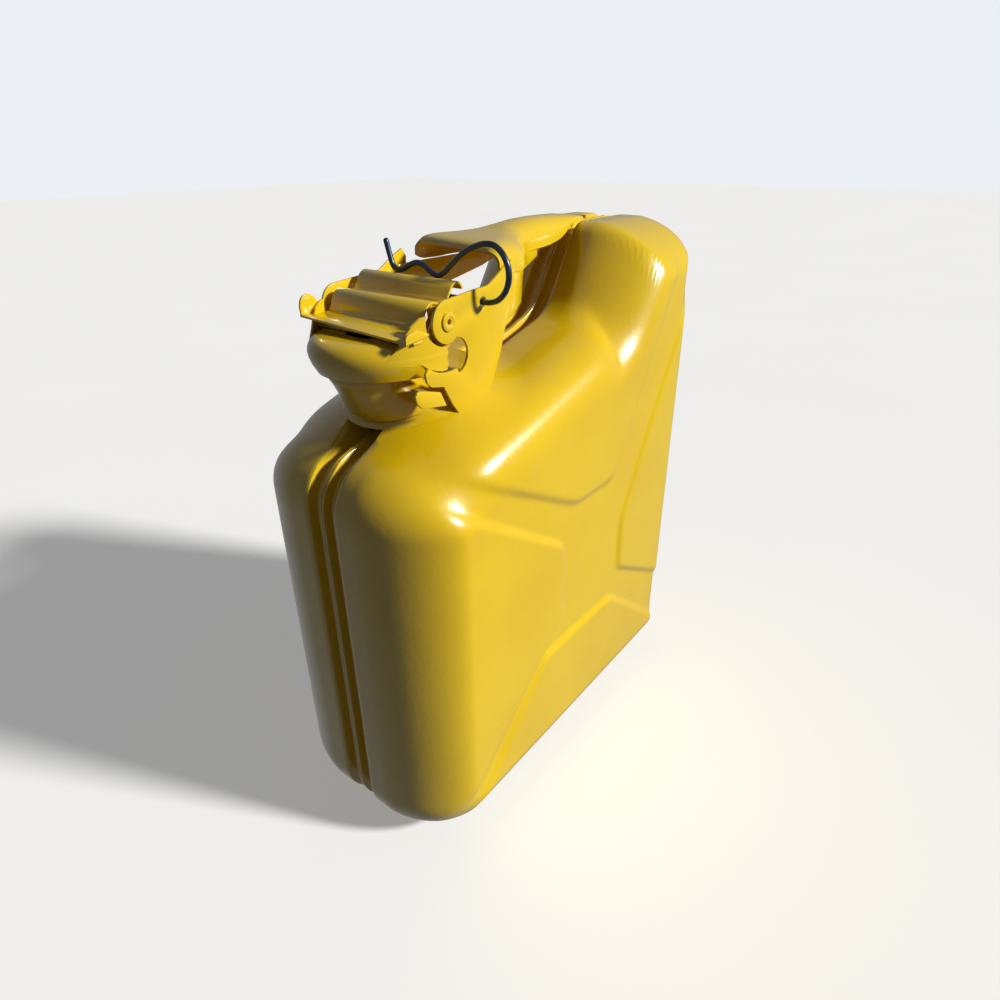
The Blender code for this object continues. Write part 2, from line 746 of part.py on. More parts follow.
clear_scene()
PAINT = paint("yellow_paint", (0.83, 0.55, 0.02), 0.28, 0.0)
STEEL = paint("zinc_steel", (0.62, 0.62, 0.60), 0.35, 1.0)
RUBBER = paint("black_rubber", (0.03, 0.03, 0.03), 0.75, 0.0)
SPRING = paint("blued_spring_wire", (0.035, 0.045, 0.07), 0.32, 0.9)
build_body()
build_bracket()
build_cap(add_axis("cap_axis", *PIVOT))
build_lever(add_axis("lever_axis", *PIVOT))
add_part("locking_clip", swept(clip_route(), CLIP_WIRE * MM), SPRING, add_axis("clip_axis", *CLIP_EYE))
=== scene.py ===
import math

import bmesh
import bpy
import numpy as np
from mathutils import Matrix, Vector, noise


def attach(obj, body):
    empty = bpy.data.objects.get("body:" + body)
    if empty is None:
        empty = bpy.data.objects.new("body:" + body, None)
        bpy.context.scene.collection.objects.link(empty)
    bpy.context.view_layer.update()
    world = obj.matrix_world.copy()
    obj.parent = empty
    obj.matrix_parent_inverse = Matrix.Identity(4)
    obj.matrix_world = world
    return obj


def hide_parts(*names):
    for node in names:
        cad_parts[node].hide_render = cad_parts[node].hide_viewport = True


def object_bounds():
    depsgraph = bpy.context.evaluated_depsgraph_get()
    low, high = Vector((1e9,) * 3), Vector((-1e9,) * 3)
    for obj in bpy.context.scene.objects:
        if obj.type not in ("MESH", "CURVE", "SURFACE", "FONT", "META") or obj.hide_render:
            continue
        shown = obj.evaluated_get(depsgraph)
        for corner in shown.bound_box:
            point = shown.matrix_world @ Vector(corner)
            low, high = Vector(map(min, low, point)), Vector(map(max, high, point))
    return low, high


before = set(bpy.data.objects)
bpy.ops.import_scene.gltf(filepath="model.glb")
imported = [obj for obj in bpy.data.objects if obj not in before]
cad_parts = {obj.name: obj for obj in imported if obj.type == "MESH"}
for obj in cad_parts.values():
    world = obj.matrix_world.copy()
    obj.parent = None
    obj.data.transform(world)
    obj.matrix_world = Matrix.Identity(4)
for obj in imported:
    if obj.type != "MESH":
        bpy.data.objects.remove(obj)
cadBounds = [list(corner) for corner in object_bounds()]

mm = 0.001
frontStation = cadBounds[0][0]  # stations run back from the front face, in millimetres


def at(station, y, height):
    return Vector((frontStation + station * mm, y * mm, height * mm))


# shader maths

class Signal:
    # a socket that can be added, subtracted, multiplied and divided
    def __init__(self, tree, socket):
        self.tree = tree
        self.socket = socket

    def maths(self, operation, first, second):
        node = self.tree.nodes.new("ShaderNodeMath")
        node.operation = operation
        for slot, value in zip(node.inputs, (first, second)):
            if isinstance(value, Signal):
                self.tree.links.new(value.socket, slot)
            else:
                slot.default_value = value
        return Signal(self.tree, node.outputs[0])

    def __add__(self, other):
        return self.maths("ADD", self, other)

    def __radd__(self, other):
        return self.maths("ADD", other, self)

    def __sub__(self, other):
        return self.maths("SUBTRACT", self, other)

    def __rsub__(self, other):
        return self.maths("SUBTRACT", other, self)

    def __mul__(self, other):
        return self.maths("MULTIPLY", self, other)

    def __rmul__(self, other):
        return self.maths("MULTIPLY", other, self)


class Finish:
    # a material whose varying signals are built with node() and fed to its shader
    def __init__(self, name, **fixed):
        self.material = bpy.data.materials.new(name)
        self.material.use_nodes = True
        self.tree = self.material.node_tree
        self.shader = self.tree.nodes["Principled BSDF"]
        for socketName, value in fixed.items():
            self.shader.inputs[socketName.replace("_", " ")].default_value = value
        self.place = self.node("ShaderNodeTexCoord", output="Object")

    def node(self, kind, settings=None, output=0, **inputs):
        # an input is named, or is i and its number where names repeat
        made = self.tree.nodes.new(kind)
        for key, value in (settings or {}).items():
            setattr(made, key, value)
        for key, value in inputs.items():
            slot = made.inputs[int(key[1:])] if key[0] == "i" and key[1:].isdigit() else made.inputs[key]
            if isinstance(value, Signal):
                self.tree.links.new(value.socket, slot)
            else:
                slot.default_value = value
        return Signal(self.tree, made.outputs[output])

    def speckle(self, scale, detail=2.0, roughness=0.5):
        return self.node("ShaderNodeTexNoise", Vector=self.place,
                         Scale=scale, Detail=detail, Roughness=roughness)

    def band(self, signal, low, high):
        # 0 below low, 1 above high, smooth between
        return self.node("ShaderNodeMapRange", {"interpolation_type": "SMOOTHSTEP"},
                         i0=signal, i1=low, i2=high)

    def blend(self, mask, first, second):
        return self.node("ShaderNodeMix", {"data_type": "RGBA"}, output=2, i0=mask, i6=first, i7=second)

    def feed(self, **signals):
        for key, signal in signals.items():
            self.tree.links.new(signal.socket, self.shader.inputs[key.replace("_", " ")])

    def bump(self, height, distance, strength):
        normal = self.node("ShaderNodeBump", Height=height, Distance=distance, Strength=strength)
        self.feed(Normal=normal)


paintLook = {
    "body": (0.80, 0.55, 0.004, 1.0),
    "deep": (0.755, 0.495, 0.003, 1.0),
    "dust": (0.66, 0.50, 0.12, 1.0),
    "speck": (0.45, 0.25, 0.01, 1.0),
}


def enamelPaint(name, relief=1.0):
    # thick sprayed enamel: faint mottle, orange peel, a few dust specks
    finish = Finish(name, Coat_Weight=0.55, Coat_Roughness=0.07, Specular_IOR_Level=0.5)
    mottle = finish.band(finish.speckle(14.0, 3.0), 0.35, 0.7)
    colour = finish.blend(mottle, paintLook["body"], paintLook["deep"])
    film = finish.band(finish.speckle(55.0, 5.0, 0.65), 0.56, 0.78)
    colour = finish.blend(film * 0.16, colour, paintLook["dust"])
    speck = finish.band(finish.speckle(900.0, 1.0), 0.74, 0.8)
    colour = finish.blend(speck * 0.35, colour, paintLook["speck"])
    peel = finish.speckle(420.0, 1.5)
    sag = finish.speckle(45.0, 2.0)
    finish.feed(Base_Color=colour, Roughness=0.24 + film * 0.14 + mottle * 0.05)
    finish.bump(peel * 0.25 + sag * 0.75, 0.00035 * relief, 0.5)
    return finish.material


def bluedWire():
    finish = Finish("bluedSpringWire", Coat_Weight=0.2, Coat_Roughness=0.15, Metallic=0.85)
    drift = finish.band(finish.speckle(120.0, 3.0), 0.3, 0.75)
    drawn = finish.node("ShaderNodeTexNoise", Vector=finish.place, Scale=700.0, Detail=3.0)
    colour = finish.blend(drift, (0.020, 0.035, 0.075, 1.0), (0.045, 0.06, 0.09, 1.0))
    finish.feed(Base_Color=colour, Roughness=0.26 + drawn * 0.16)
    finish.bump(drawn, 0.00006, 0.5)
    return finish.material


def zincPlate():
    finish = Finish("zincPlate", Metallic=1.0)
    spangle = finish.node("ShaderNodeTexVoronoi", Vector=finish.place, Scale=330.0)
    grain = finish.speckle(900.0, 4.0)
    colour = finish.blend(finish.band(spangle, 0.1, 0.8), (0.66, 0.66, 0.63, 1.0), (0.48, 0.48, 0.47, 1.0))
    finish.feed(Base_Color=colour, Roughness=0.28 + grain * 0.2)
    finish.bump(grain, 0.00004, 0.6)
    return finish.material


def sealRubber():
    finish = Finish("sealRubber", Specular_IOR_Level=0.35)
    bloom = finish.band(finish.speckle(160.0, 4.0), 0.45, 0.75)
    grain = finish.speckle(1400.0, 2.0)
    finish.feed(Base_Color=finish.blend(bloom, (0.016, 0.016, 0.017, 1.0), (0.05, 0.05, 0.048, 1.0)),
                Roughness=0.6 + grain * 0.25)
    finish.bump(grain, 0.00008, 0.6)
    return finish.material


enamel = enamelPaint("yellowEnamel")
enamelSmall = enamelPaint("yellowEnamelFittings", 0.5)
wireBlue = bluedWire()
zinc = zincPlate()
rubber = sealRubber()
print("finishes made")


# modelling helpers

def skin(rings, joined=False):
    # draws a tube of equal rings out of one circle, level by level, and fills both its ends
    mesh = bmesh.new()
    order = mesh.verts.layers.int.new("order")
    made = bmesh.ops.create_circle(mesh, cap_ends=False, segments=len(rings[0]), radius=1.0)
    for k, vert in enumerate(made["verts"]):
        vert[order] = k
        vert.co = rings[0][k]
    edges = list(mesh.edges)
    for ring in rings[1:]:
        made = bmesh.ops.extrude_edge_only(mesh, edges=edges)["geom"]
        edges = [part for part in made if isinstance(part, bmesh.types.BMEdge) and part.is_boundary]
        for vert in (part for part in made if isinstance(part, bmesh.types.BMVert)):
            vert.co = ring[vert[order]]
    rims = [edge for edge in mesh.edges if edge.is_boundary]
    if joined:
        bmesh.ops.bridge_loops(mesh, edges=rims)
    else:
        bmesh.ops.holes_fill(mesh, edges=rims, sides=0)
    return mesh


def finishPiece(name, mesh, material, body, stands, smooth=38):
    bmesh.ops.remove_doubles(mesh, verts=mesh.verts, dist=0.000001)
    bmesh.ops.recalc_face_normals(mesh, faces=mesh.faces)
    data = bpy.data.meshes.new(name)
    mesh.to_mesh(data)
    mesh.free()
    data.shade_smooth()
    data.set_sharp_from_angle(angle=math.radians(smooth))
    data.materials.append(material)
    piece = bpy.data.objects.new(name, data)
    bpy.context.collection.objects.link(piece)
    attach(piece, body)
    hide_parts(*stands)
    return piece


def cutAway(piece, cutter, smooth=38):
    # takes the cutter's shape out of the piece for good
    data = bpy.data.meshes.new("cutter")
    cutter.to_mesh(data)
    cutter.free()
    tool = bpy.data.objects.new("cutter", data)
    bpy.context.collection.objects.link(tool)
    step = piece.modifiers.new("cut", "BOOLEAN")
    step.object = tool
    step.operation = "DIFFERENCE"
    step.solver = "EXACT"
    graph = bpy.context.evaluated_depsgraph_get()
    cut = bpy.data.meshes.new_from_object(piece.evaluated_get(graph))
    piece.modifiers.clear()
    piece.data = cut
    cut.shade_smooth()
    cut.set_sharp_from_angle(angle=math.radians(smooth))
    bpy.data.objects.remove(tool)


def smoothLine(points, count):
    # a curve through the points, as count points spaced evenly along it
    path = np.array(points, float)
    padded = np.vstack([2 * path[0] - path[1], path, 2 * path[-1] - path[-2]])
    fine = []
    for a, b, c, d in zip(padded, padded[1:], padded[2:], padded[3:]):
        for t in np.linspace(0, 1, 16, endpoint=False):
            fine.append(0.5 * (2 * b + (c - a) * t + (2 * a - 5 * b + 4 * c - d) * t ** 2
                               + (3 * b - a - 3 * c + d) * t ** 3))
    return spaced(np.array(fine + [path[-1]]), count)


def spaced(path, count):
    walk = np.concatenate([[0], np.cumsum(np.linalg.norm(np.diff(path, axis=0), axis=1))])
    stops = np.linspace(0, walk[-1], count)
    return np.stack([np.interp(stops, walk, path[:, k]) for k in range(path.shape[1])], axis=1)


def wave(place, seed):
    return noise.noise(Vector((place[0], place[1], seed)))


def bentSheet(line, thickness):
    # closed side outline of a sheet whose lower face follows the line
    along = np.gradient(line, axis=0)
    along /= np.linalg.norm(along, axis=1)[:, None]
    upper = line + np.stack([-along[:, 1], along[:, 0]], axis=1) * thickness
    return np.vstack([line, upper[::-1]])


def slab(outline, yLow, yHigh):
    # a side outline of stations and heights, drawn out along Y
    mesh = bmesh.new()
    face = mesh.faces.new([mesh.verts.new(at(s, yLow, h)) for s, h in outline])
    made = bmesh.ops.extrude_face_region(mesh, geom=[face], use_keep_orig=True)["geom"]
    fresh = [part for part in made if isinstance(part, bmesh.types.BMVert)]
    bmesh.ops.translate(mesh, verts=fresh, vec=Vector((0, (yHigh - yLow) * mm, 0)))
    return mesh


def softenEdges(mesh, width, sharpest=35, segments=2):
    bmesh.ops.recalc_face_normals(mesh, faces=mesh.faces)
    limit = math.radians(sharpest)
    edges = [edge for edge in mesh.edges if edge.is_manifold and edge.calc_face_angle(0.0) > limit]
    bmesh.ops.bevel(mesh, geom=edges, offset=width * mm, segments=segments, affect="EDGES",
                    profile=0.5, material=-1, clamp_overlap=True)


def gather(whole, parts):
    # adds each part's mesh to the whole and frees it
    for part in parts:
        data = bpy.data.meshes.new("part")
        part.to_mesh(data)
        part.free()
        whole.from_mesh(data)
        bpy.data.meshes.remove(data)


def arcAround(centre, radius, start, end, steps):
    return [(centre[0] + radius * math.cos(a), centre[1] + radius * math.sin(a))
            for a in np.radians(np.linspace(start, end, steps))]


# can body

pivotPlace = (51.3, 274.0)  # station and height of the pin that the cap and lever turn on
neckShape = {
    "baseStation": 63.0,
    "baseRadius": 31.0,
    "mouthStation": 36.0,
    "mouthRadius": 17.0,
    "spoutFoot": 249.5,
    "mouthHeight": 256.5,
    "flare": ((3.0, -0.15), (1.9, 0.15), (0.9, 0.5), (0.3, 1.0)),  # spread and lift at the foot
    "wall": 1.5,
    "around": 120,
    "collar": 7.5,
    "collarReach": 54.0,
    "throatRadius": 23.2,
    "throatPlace": (60, 232),
}
bodyShape = {
    "corners": ((0, 0, 30), (254, 0, 28), (254, 300, 20), (187, 300, 13), (158, 256, 30), (0, 214, 28)),
    "heart": (128, 125),
    "roundEdge": 1.65,  # fullness of the long edges
    "fullEdge": 2.9,    # and of the shoulder's edges
    "around": 420,
    "edgeDepth": 29.0,
    "edgeStart": 20.0,
    "halfWidth": 61.5,
    "seamGap": 0.15,
    "sheet": 1.1,
    "shoulderFoot": 214,
    "shoulderSlope": 0.273,
    "panelDepth": 1.9,
    "panelSlope": 5.0,
    "broadRings": 62,
}
raisedPanels = (
    ((34, 211), (115, 168), (157, 168), (180, 209)),
    ((194, 190), (166, 139), (167, 101), (218, 72)),
    ((207, 52), (162, 88), (90, 88), (51, 48)),
    ((62, 62), (108.5, 102), (108.5, 151), (50, 189.5)),
)


def roundedOutline(corners, count):
    path = []
    for k, (s, h, radius) in enumerate(corners):
        here = np.array((s, h), float)
        back = np.array(corners[k - 1][:2], float) - here
        ahead = np.array(corners[(k + 1) % len(corners)][:2], float) - here
        back /= np.linalg.norm(back)
        ahead /= np.linalg.norm(ahead)
        half = math.acos(float(back @ ahead)) / 2
        centre = here + (back + ahead) / np.linalg.norm(back + ahead) * radius / math.sin(half)
        start = here + back * radius / math.tan(half) - centre
        end = here + ahead * radius / math.tan(half) - centre
        sweep = math.pi - 2 * half
        for t in np.linspace(0, 1, 24):
            swung = start * math.sin((1 - t) * sweep) + end * math.sin(t * sweep)
            path.append(centre + swung / math.sin(sweep))
    path.append(path[0])
    return spaced(np.array(path), count + 1)[:-1]


def depthInside(points, outline):
    along = np.roll(outline, -1, axis=0)[None] - outline[None]
    offset = points[:, None] - outline[None]
    t = np.clip((offset * along).sum(2) / (along * along).sum(2), 0, 1)
    return np.linalg.norm(points[:, None] - outline[None] - along * t[:, :, None], axis=2).min(1)


def insetRing(outline, depth):
    # each outline point drawn towards the heart until it lies depth inside
    heart = np.array(bodyShape["heart"], float)
    low, high = np.zeros(len(outline)), np.full(len(outline), 0.75)
    for _ in range(18):
        middle = (low + high) / 2
        shallow = depthInside(outline + (heart - outline) * middle[:, None], outline) < depth
        low, high = np.where(shallow, middle, low), np.where(shallow, high, middle)
    return outline + (heart - outline) * low[:, None]


def panelRaise(points):
    # 1 on the raised panels, 0 in the cross and the frame between them
    best = np.full(len(points), -99.0)
    for panel in raisedPanels:
        sides = []
        for start, end in zip(panel, panel[1:]):
            along = np.array(end, float) - np.array(start, float)
            normal = np.array((-along[1], along[0])) / np.linalg.norm(along)
            sides.append((points - np.array(start, float)) @ normal)
        inside = -1.4 * np.log(np.exp(-np.array(sides) / 1.4).sum(0))
        best = np.maximum(best, inside)
    t = np.clip(best / bodyShape["panelSlope"], 0, 1)
    return t * t * (3 - 2 * t)


def edgeFall(y):
    # how far the shoulder falls at this distance from the seam
    reach = bodyShape["halfWidth"] - bodyShape["edgeStart"]
    t = np.clip((abs(y) - bodyShape["edgeStart"]) / reach, 0, 1)
    return bodyShape["edgeDepth"] * (1 - (1 - t ** bodyShape["fullEdge"]) ** (1 / bodyShape["fullEdge"]))


def collarRise(station, y):
    # the drawn collar around the neck, highest at its foot
    away = math.hypot(station - neckShape["baseStation"], y)
    return neckShape["collar"] * min(max((neckShape["collarReach"] - away) / 23, 0), 1) ** 2


def edgeFullness(outline):
    # full on the sloping shoulder, rounder on the front, foot, back and top
    above = (outline[:, 1] - bodyShape["shoulderFoot"]) - bodyShape["shoulderSlope"] * outline[:, 0]
    onShoulder = np.clip(1 - np.abs(above + 1) / 12, 0, 1) * np.clip((165 - outline[:, 0]) / 25, 0, 1)
    onShoulder = onShoulder * np.clip((outline[:, 0] - 14) / 30, 0, 1)
    share = onShoulder * onShoulder * (3 - 2 * onShoulder)
    for _ in range(12):
        share = (np.roll(share, 1) + share + np.roll(share, -1)) / 3
    return bodyShape["roundEdge"] + (bodyShape["fullEdge"] - bodyShape["roundEdge"]) * share


def pressingLevels(outline, side):
    # depth in from the outline and distance from the seam, and how many of them are inside
    depth, reach = bodyShape["edgeDepth"], bodyShape["halfWidth"] - bodyShape["edgeStart"]
    seam = bodyShape["seamGap"]
    ragged = np.array([wave(p / 9, 3.0) + 0.6 * wave(p / 3.4, 5.0) for p in outline])
    lip = 1.0 + 0.42 * ragged
    thick = 1.35 + 0.35 * np.array([wave(p / 13, 8.0 + side) for p in outline])
    levels = []
    for angle in np.linspace(90, 0, 7):
        a = math.radians(angle)
        levels.append((2.5 + (depth - 2.5) * (1 - math.cos(a)), 17 + (reach - 3) * math.sin(a)))
    levels += [(bodyShape["sheet"], 11.6), (2.2, 10.3), (6.6, 8.6), (7.1, 7.6), (7.1, seam)]
    inner = len(levels)
    levels += [(lip, seam), (lip, thick - 0.35), (lip + 0.4, thick), (5.2, thick + 0.1)]  # flange
    levels += [(5.8, thick + 0.5), (6.0, thick + 1.2), (6.0, 6.6), (5.6, 7.6), (4.8, 8.1)]  # channel
    levels += [(1.3, 8.7), (0.4, 9.1), (0.05, 9.9), (0.0, 11.5), (0.0, 15.0), (0.0, 18.5)]
    power = 2 / edgeFullness(outline)
    for angle in np.linspace(0, 90, 22):
        a = math.radians(angle)
        levels.append((depth * (1 - max(math.cos(a), 0) ** power),
                       bodyShape["edgeStart"] + reach * math.sin(a) ** power))
    return levels, inner


def pressingRings(outline, levels, inner):
    # the levels as rings, drawn together towards the heart at both ends
    heart = np.array(bodyShape["heart"], float)
    stations = [(insetRing(outline, d), y) for d, y in levels]
    innermost, broad = stations[0][0], stations[-1][0]
    rings = [(heart + (innermost - heart) * scale, stations[0][1], False) for scale in (0.02, 0.5)]
    rings += [(ring, y, k >= inner) for k, (ring, y) in enumerate(stations)]
    for scale in np.linspace(1, 0.012, bodyShape["broadRings"])[1:]:
        rings.append((heart + (broad - heart) * scale, bodyShape["halfWidth"], True))
    return rings


def pressedRing(ring, y, outer, side):
    # outer rings take the panels, a faint waviness and the collar around the neck
    out = np.full(len(ring), 1.0) * y
    lifts = np.zeros(len(ring))
    if outer:
        settle = np.clip((out - 44) / 17.5, 0, 1) ** 1.5
        out = out - bodyShape["panelDepth"] * (1 - panelRaise(ring)) * settle
        out -= np.array([0.12 + 0.12 * wave(p / 26, 21.0 * side) for p in ring]) * settle
        lifts = [collarRise(p[0], h) * min(max((h - 9.0) / 1.5, 0), 1) * (p[1] > 196) * (p[0] < 125)
                 for p, h in zip(ring, out)]
    return [at(p[0], side * h, p[1] + lift) for p, h, lift in zip(ring, out, lifts)]


def pressedHalf(name, side, node):
    outline = roundedOutline(bodyShape["corners"], bodyShape["around"])
    levels, inner = pressingLevels(outline, side)
    rings = [pressedRing(*stop, side) for stop in pressingRings(outline, levels, inner)]
    piece = finishPiece(name, skin(rings), enamel, "can", [node], 42)
    throat = bmesh.new()
    lean = Matrix.Rotation(-math.atan(bodyShape["shoulderSlope"]), 4, "Y")
    station, height = neckShape["throatPlace"]
    radius = neckShape["throatRadius"] * mm
    bmesh.ops.create_cone(throat, cap_ends=True, segments=48, radius1=radius, radius2=radius, depth=0.06,
                          matrix=Matrix.Translation(at(station, 0, height)) @ lean)
    cutAway(piece, throat, 42)


pressedHalf("leftPressing", -1, "left_shell")
pressedHalf("rightPressing", 1, "right_shell")
print("can body pressed")


# filler neck

def neckRing(t, wall, spread=0.0, lift=0.3):
    centre = neckShape["baseStation"] + (neckShape["mouthStation"] - neckShape["baseStation"]) * t ** 0.8
    swell = neckShape["baseRadius"] - neckShape["mouthRadius"]
    radius = neckShape["mouthRadius"] + swell * (1 - t) ** 1.5 - wall + spread
    ring = []
    for angle in np.linspace(0, 2 * math.pi, neckShape["around"], endpoint=False):
        station, y = centre + radius * math.cos(angle), radius * math.sin(angle)
        shoulder = bodyShape["shoulderFoot"] + bodyShape["shoulderSlope"] * station
        foot = shoulder - edgeFall(y) + collarRise(station, y) + lift
        ring.append(at(station, y, foot + (neckShape["spoutFoot"] - foot) * t))
    return ring


def levelRing(station, radius, height):
    angles = np.linspace(0, 2 * math.pi, neckShape["around"], endpoint=False)
    return [at(station + radius * math.cos(a), radius * math.sin(a), height) for a in angles]


def fillerNeck():
    mouth, radius = neckShape["mouthStation"], neckShape["mouthRadius"]
    top = neckShape["mouthHeight"]
    rings = [neckRing(0, 0, spread, lift) for spread, lift in neckShape["flare"]]
    rings += [neckRing(t, 0) for t in np.linspace(0.1, 1, 20)]
    rings += [levelRing(mouth, radius, h) for h in (251.5, 255.9)] + [levelRing(mouth, radius - 0.5, top)]
    bore = radius - neckShape["wall"]
    rings += [levelRing(mouth, bore, h) for h in (top, 251.0)]
    rings += [neckRing(t, neckShape["wall"]) for t in np.linspace(1, 0, 10)]
    finishPiece("fillerNeck", skin(rings, joined=True), enamel, "can", ["filler_neck"])


fillerNeck()
print("filler neck drawn")


# carrying bracket: hood and handle in one

gripShape = {
    # station, half width, half of the flat top, lower edge, top, depth of the round corner
    "sections": ((88.0, 33.0, 25.0, 289.0, 296.6, 5.0), (90.5, 33.0, 25.0, 288.0, 298.2, 7.0),
                 (95.0, 32.8, 23.0, 287.0, 299.2, 9.0), (102.0, 32.2, 18.5, 286.8, 299.8, 10.5),
                 (110.0, 30.4, 13.0, 287.0, 300.2, 11.0), (117.0, 26.4, 8.6, 288.0, 300.7, 11.0),
                 (124.0, 20.4, 4.6, 289.0, 301.5, 10.5), (132.0, 14.8, 1.6, 289.8, 302.9, 10.0),
                 (144.0, 12.7, 0.8, 290.3, 304.2, 9.5), (158.0, 12.2, 0.8, 291.2, 304.5, 9.0),
                 (170.0, 11.8, 1.2, 293.8, 304.3, 7.5), (179.0, 11.2, 2.5, 298.6, 303.9, 4.0),
                 (186.0, 10.6, 5.0, 300.5, 303.4, 2.0), (194.0, 9.4, 6.5, 300.4, 302.4, 1.2)),
    "wall": 1.15,
    "along": 84,
    "highest": 304.6,
    "slant": 15.0,  # how much further back the hood's far front corner lies
}


def gripRing(half, flat, low, top, corner):
    # outer path over the top, then the inner path back
    loop = []
    for inset in (0.0, gripShape["wall"]):
        w, z = half - inset, top - inset
        drop = max(corner - inset * 0.5, 0.3)
        run = max(w - flat, 0.3)
        right = [(w - run + run * math.cos(a), z - drop + drop * math.sin(a))
                 for a in np.linspace(0, math.pi / 2, 12)]
        path = [(w, low), (w, low + (z - drop - low) * 0.5)] + right
        path += [(-y, h) for y, h in reversed(path)]
        loop += path if inset == 0 else path[::-1]
    return loop


def carryGrip():
    table = np.array(gripShape["sections"], float)
    stations = np.linspace(table[0, 0], table[-1, 0], gripShape["along"])
    line = smoothLine(table, 400)
    rings = []
    for station in stations:
        half, flat, low, top, corner = [np.interp(station, line[:, 0], line[:, k]) for k in range(1, 6)]
        slant = gripShape["slant"] * np.clip((130 - station) / 42, 0, 1)
        ring = []
        for y, h in gripRing(half, flat, low, top, corner):
            back = slant * (np.clip((y + 30) / 60, 0, 1) ** 1.3)
            ring.append(at(station + back, y, min(h, gripShape["highest"])))
        rings.append(ring)
    finishPiece("carryGrip", skin(rings), enamelSmall, "can", ["hood", "handle"], 50)


carryGrip()
print("carrying grip bent")


# cap

capShape = {
    "centre": 50.0,
    "forward": 37.0,
    "half": 33.0,
    "back": 58.0,
    # inset from the plan and height
    "outside": ((3.0, 252.4), (2.5, 253.4), (1.2, 255.8), (0.3, 258.4), (0.0, 260.6), (0.3, 262.6),
                (1.3, 264.5), (3.2, 266.1), (6.2, 266.9), (10.0, 267.0), (18.0, 267.0), (27.0, 267.0)),
    "inside": ((27.0, 265.9), (10.0, 265.9), (6.6, 265.8), (4.2, 265.1), (2.4, 263.8), (1.4, 262.2),
               (1.1, 260.6), (1.4, 258.4), (2.2, 255.8), (3.6, 253.4), (4.1, 252.4)),
    "behind": ((52.0, 240.0), (52.0, 264.5), (60.0, 264.5), (60.0, 280.0), (90.0, 280.0), (90.0, 240.0)),
    "ear": ((24.0, 261.0), (27.0, 264.0), (29.8, 267.2), (31.8, 270.8), (34.6, 274.2), (38.6, 277.2)),
}


def capRing(inset, height):
    half, back = capShape["half"] - inset, capShape["back"] - inset
    front = [(capShape["centre"] - (capShape["forward"] - inset) * math.cos(a), half * math.sin(a))
             for a in np.radians(np.linspace(-90, 90, 90))]
    rear = [(back, y) for y in np.linspace(half, -half, 14)]
    return [at(s, y, height) for s, y in front + rear]


def capEar(side):
    outline = list(capShape["ear"]) + arcAround(pivotPlace, 10.4, 160, 268, 16)
    outline += [(54.2, 264.2), (51.8, 262.6), (52.6, 260.8), (51.2, 258.8), (52.4, 256.6)]
    outline += arcAround(pivotPlace, 20.4, -90, -136, 9)
    outline += [(34.6, 258.4), (28.0, 259.0)]
    mesh = slab(outline, -0.55, 0.55)
    for station in np.arange(24.0, 52.0, 1.5):
        geometry = list(mesh.verts) + list(mesh.edges) + list(mesh.faces)
        bmesh.ops.bisect_plane(mesh, geom=geometry, plane_co=at(station, 0, 0), plane_no=(1, 0, 0))
    for vert in mesh.verts:
        ahead = max(capShape["centre"] - (vert.co.x - frontStation) / mm, 0) / capShape["forward"]
        spread = capShape["half"] * math.sqrt(max(1 - ahead * ahead, 0)) - 0.72
        vert.co.y += side * spread * mm
    softenEdges(mesh, 0.25)
    return mesh


def capPiece():
    rings = [capRing(*stop) for stop in capShape["inside"] + capShape["outside"]]
    piece = finishPiece("capPan", skin(rings), enamelSmall, "cap", ["cap_pan"], 50)
    cutAway(piece, slab(capShape["behind"], -40, 40), 50)
    whole = bmesh.new()
    whole.from_mesh(piece.data)
    gather(whole, [capEar(side) for side in (-1, 1)])
    bmesh.ops.recalc_face_normals(whole, faces=whole.faces)
    whole.to_mesh(piece.data)
    whole.free()
    piece.data.shade_smooth()
    piece.data.set_sharp_from_angle(angle=math.radians(50))


capPiece()
print("cap pressed")


# lever

leverShape = {
    "line": ((40.6, 270.6), (42.6, 271.0), (44.2, 272.6), (45.2, 275.4), (46.8, 278.4), (49.2, 280.0),
             (52.0, 279.9), (54.8, 278.6), (57.4, 278.3), (59.6, 279.8), (61.4, 282.6), (63.2, 285.1),
             (65.6, 286.2), (67.8, 285.4), (68.9, 283.4)),
    "sides": (-27.2, 29.6),
    "lipHalf": 32.6,
    "lipEar": ((28.8, 0), (28.6, 3.4), (29.6, 6.4), (31.8, 8.0),
               (34.6, 8.0), (37.2, 6.4), (39.2, 3.2), (40.2, 0)),
    "earHeights": ((-1, 3.4), (1, 8.6)),  # near side low, far side high
    "thickness": 1.1,
    "tilt": 0.045,
}


def leverPiece():
    outline = bentSheet(smoothLine(leverShape["line"], 56), leverShape["thickness"])
    near, far = leverShape["sides"]
    lipHalf = leverShape["lipHalf"]
    lip = slab(((28.6, 269.9), (42.0, 270.5), (42.0, 271.6), (28.6, 271.0)), -lipHalf, lipHalf)
    parts = [slab(outline, near, far), lip]
    for side, height in leverShape["earHeights"]:
        low, high = sorted((side * (lipHalf - 1.1), side * lipHalf))
        ear = smoothLine([(s, 270.8 + h * height / 8) for s, h in leverShape["lipEar"]], 28)
        parts.append(slab(ear, low, high))
    for side, edge in ((-1, near), (1, far)):
        low, high = sorted((edge - side * 1.1, edge))
        wing = [(48.0, 275.5), (47.6, 278.8), (50.0, 279.9), (54.6, 278.9), (57.4, 278.6)]
        wing += arcAround(pivotPlace, 5.2, -12, -172, 14)
        parts.append(slab(wing, low, high))
    for part in parts:
        softenEdges(part, 0.3)
    whole = bmesh.new()
    gather(whole, parts)
    for vert in whole.verts:
        forward = max(frontStation + pivotPlace[0] * mm - vert.co.x, 0) / (22 * mm)
        vert.co.z += vert.co.y * leverShape["tilt"] * min(forward, 1)
    finishPiece("leverPlate", whole, enamelSmall, "lever", ["lever"])


leverPiece()
print("lever bent")


# locking clip

